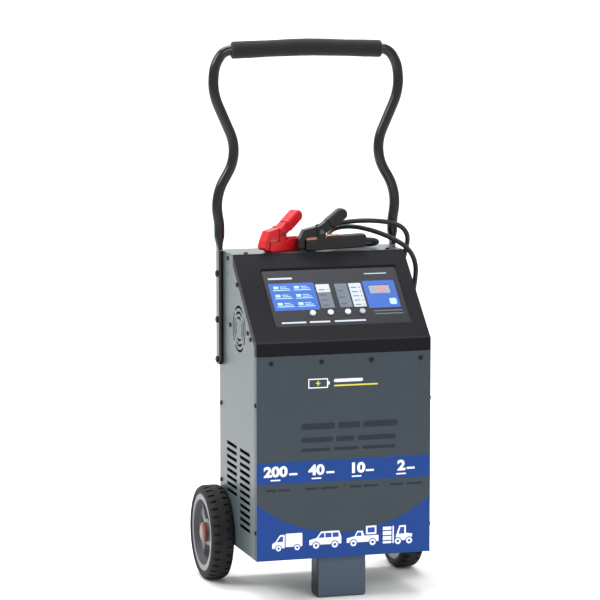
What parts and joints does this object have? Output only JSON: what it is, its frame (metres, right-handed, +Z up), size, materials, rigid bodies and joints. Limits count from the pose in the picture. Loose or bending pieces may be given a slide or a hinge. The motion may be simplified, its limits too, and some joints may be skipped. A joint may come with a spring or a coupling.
{
  "type": "car battery charger",
  "caption": "Upright wheeled battery charger: sheet-steel case with sloping control panel, front foot, two wheels, bent tube handle with foam grip, and two output leads with spring clamps.",
  "frame": {"origin": "on the floor under the middle of the charger's own bounding box, leads and clamps left out", "axes": "+Z up, front panel faces -Y, +X to the right of someone facing the front panel"},
  "size_m": [0.4054, 0.3118, 0.9792],
  "materials": {
    "case_paint": "semi-gloss slate grey powder coat",
    "front_print": "slate grey with blue printed bands",
    "bezel": "fine-grained charcoal",
    "overlay": "printed polycarbonate",
    "display_lens": "clear lens",
    "display": "moulded",
    "board": "green circuit board",
    "switches": "moulded",
    "buttons": "white moulded",
    "black_screws": "blackened steel",
    "plated_steel": "zinc plated",
    "tyre_rubber": "moulded rubber",
    "hub_plastic": "silver-grey moulding",
    "cap_plastic": "red-brown moulding",
    "handle_paint": "gloss black powder coat",
    "grip_foam": "closed-cell foam",
    "fan_plastic": "moulded",
    "core_steel": "varnished laminations",
    "winding": "varnished enamelled wire",
    "bracket_steel": "zinc plated",
    "sink_aluminium": "extruded",
    "diodes": "moulded",
    "capacitor": "sleeved can",
    "breaker": "moulded",
    "reset_button": "moulded",
    "gland_rubber": "moulded",
    "red_grip": "soft vinyl",
    "black_grip": "soft vinyl",
    "jaw_copper": "copper plate",
    "pivot_steel": "zinc plated",
    "lead_rubber": "satin cable jacket"
  },
  "bodies": {
    "case": {"axle": "plated_steel", "axle_fasteners": "plated_steel", "base_pan": "case_paint", "black_clamp_lower_arm": "black_grip", "black_clamp_lower_jaw": "jaw_copper", "black_clamp_pivot": "pivot_steel", "black_lead_coil": "lead_rubber", "black_lead_gland": "gland_rubber", "black_lead_run": "lead_rubber", "black_lead_tail": "lead_rubber", "button_switches": "switches", "cable_hooks": "case_paint", "case_screws": "black_screws", "circuit_breaker": "breaker", "control_bezel": "bezel", "control_board": "board", "control_overlay": "overlay", "display_module": "display", "display_window": "display_lens", "fan_frame": "fan_plastic", "foot_bolts": "plated_steel", "front_foot": "case_paint", "front_panel": "front_print", "handle_bolts": "black_screws", "handle_grip": "grip_foam", "handle_tube": "handle_paint", "left_side_panel": "case_paint", "mains_inlet": "breaker", "rear_panel": "case_paint", "rectifier_diodes": "diodes", "rectifier_heatsink": "sink_aluminium", "red_clamp_lower_arm": "red_grip", "red_clamp_lower_jaw": "jaw_copper", "red_clamp_pivot": "pivot_steel", "red_lead_coil": "lead_rubber", "red_lead_gland": "gland_rubber", "red_lead_run": "lead_rubber", "red_lead_tail": "lead_rubber", "right_side_panel": "case_paint", "smoothing_capacitor": "capacitor", "top_panel": "case_paint", "transformer_bracket": "bracket_steel", "transformer_core": "core_steel", "transformer_winding": "winding"},
    "left_wheel": {"left_tyre": "tyre_rubber", "left_hub": "hub_plastic", "left_hub_cap": "cap_plastic"},
    "right_wheel": {"right_tyre": "tyre_rubber", "right_hub": "hub_plastic", "right_hub_cap": "cap_plastic"},
    "fan_blades": {"fan_rotor": "fan_plastic"},
    "mode_key": {"mode_button": "buttons"},
    "battery_type_key": {"battery_type_button": "buttons"},
    "charge_rate_key": {"charge_rate_button": "buttons"},
    "display_select_key": {"display_select_button": "buttons"},
    "reset_key": {"breaker_button": "reset_button"},
    "red_clamp_handle": {"red_clamp_upper_arm": "red_grip", "red_clamp_upper_jaw": "jaw_copper"},
    "black_clamp_handle": {"black_clamp_upper_arm": "black_grip", "black_clamp_upper_jaw": "jaw_copper"}
  },
  "joints": [
    {"name": "left_wheel_spin", "type": "hinge", "parent": "case", "child": "left_wheel", "pos_m": [-0.1817, 0.06995, 0.086], "axis": [1, 0, 0], "continuous": true},
    {"name": "right_wheel_spin", "type": "hinge", "parent": "case", "child": "right_wheel", "pos_m": [0.1817, 0.06995, 0.086], "axis": [1, 0, 0], "continuous": true},
    {"name": "fan_spin", "type": "hinge", "parent": "case", "child": "fan_blades", "pos_m": [-0.146, -0.04035, 0.472], "axis": [1, 0, 0], "continuous": true},
    {"name": "mode_press", "type": "slide", "parent": "case", "child": "mode_key", "axis": [0, 0.676, -0.7369], "range_m": [0, 0.001], "stiffness_N_per_m": 300, "springref_m": -0.001},
    {"name": "battery_type_press", "type": "slide", "parent": "case", "child": "battery_type_key", "axis": [0, 0.676, -0.7369], "range_m": [0, 0.001], "stiffness_N_per_m": 300, "springref_m": -0.001},
    {"name": "charge_rate_press", "type": "slide", "parent": "case", "child": "charge_rate_key", "axis": [0, 0.676, -0.7369], "range_m": [0, 0.001], "stiffness_N_per_m": 300, "springref_m": -0.001},
    {"name": "display_select_press", "type": "slide", "parent": "case", "child": "display_select_key", "axis": [0, 0.676, -0.7369], "range_m": [0, 0.001], "stiffness_N_per_m": 300, "springref_m": -0.001},
    {"name": "reset_press", "type": "slide", "parent": "case", "child": "reset_key", "axis": [0, -1, 0], "range_m": [0, 0.003], "stiffness_N_per_m": 400, "springref_m": -0.001},
    {"name": "red_clamp_squeeze", "type": "hinge", "parent": "case", "child": "red_clamp_handle", "pos_m": [-0.06645, 0.02749, 0.6332], "axis": [-0.4695, 0.8829, 0], "range_deg": [0, 20], "stiffness_Nm_per_rad": 2, "springref_deg": -20.05},
    {"name": "black_clamp_squeeze", "type": "hinge", "parent": "case", "child": "black_clamp_handle", "pos_m": [0.00658, 0.01465, 0.63516], "axis": [0, 1, 0], "range_deg": [0, 20], "stiffness_Nm_per_rad": 2, "springref_deg": -20.05}
  ]
}
